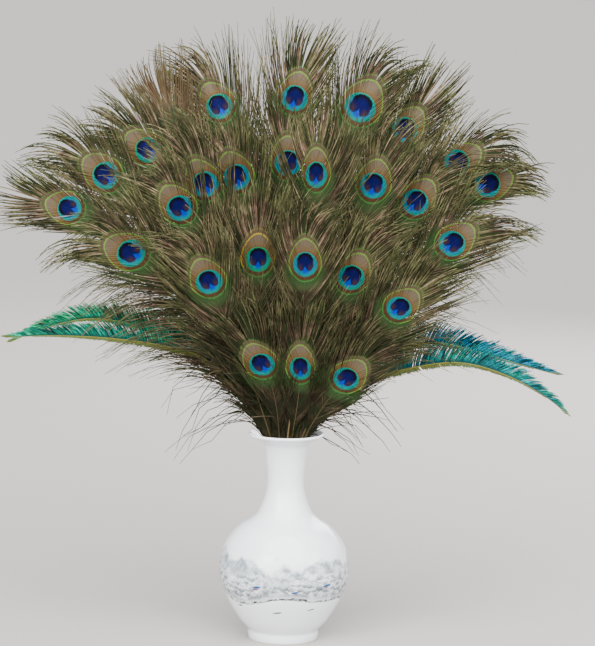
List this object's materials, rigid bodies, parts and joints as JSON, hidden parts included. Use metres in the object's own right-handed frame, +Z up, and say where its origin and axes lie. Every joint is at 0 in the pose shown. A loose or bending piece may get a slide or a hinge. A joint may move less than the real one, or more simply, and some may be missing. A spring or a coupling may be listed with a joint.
{
  "type": "peacock feather bouquet in a vase",
  "caption": "Fan of peacock tail feathers with eye spots and green sword feathers at the sides, standing in a white porcelain bottle vase.",
  "frame": {"origin": "middle of the vase's foot ring, on the surface that the vase stands on, which is also under the middle of the whole bouquet's box", "axes": "+Z up the vase's axis, -Y towards the side that the flat fan of feathers faces, +X to the right seen from that side"},
  "size_m": [0.6348, 0.2178, 0.6833],
  "materials": {
    "porcelain": "gloss",
    "eye_feather": "satin",
    "sword_feather": "satin"
  },
  "bodies": {
    "root": {"vase": "porcelain", "eye_feather_01": "eye_feather", "eye_feather_02": "eye_feather", "eye_feather_03": "eye_feather", "eye_feather_04": "eye_feather", "eye_feather_05": "eye_feather", "eye_feather_06": "eye_feather", "eye_feather_07": "eye_feather", "eye_feather_08": "eye_feather", "eye_feather_09": "eye_feather", "eye_feather_10": "eye_feather", "eye_feather_11": "eye_feather", "eye_feather_12": "eye_feather", "eye_feather_13": "eye_feather", "eye_feather_14": "eye_feather", "eye_feather_15": "eye_feather", "eye_feather_16": "eye_feather", "eye_feather_17": "eye_feather", "eye_feather_18": "eye_feather", "eye_feather_19": "eye_feather", "eye_feather_20": "eye_feather", "eye_feather_21": "eye_feather", "eye_feather_22": "eye_feather", "eye_feather_23": "eye_feather", "eye_feather_24": "eye_feather", "eye_feather_25": "eye_feather", "eye_feather_26": "eye_feather", "eye_feather_27": "eye_feather", "sword_feather_left_low": "sword_feather", "sword_feather_left_high": "sword_feather", "sword_feather_right_low": "sword_feather", "sword_feather_right_high": "sword_feather"}
  },
  "joints": []
}
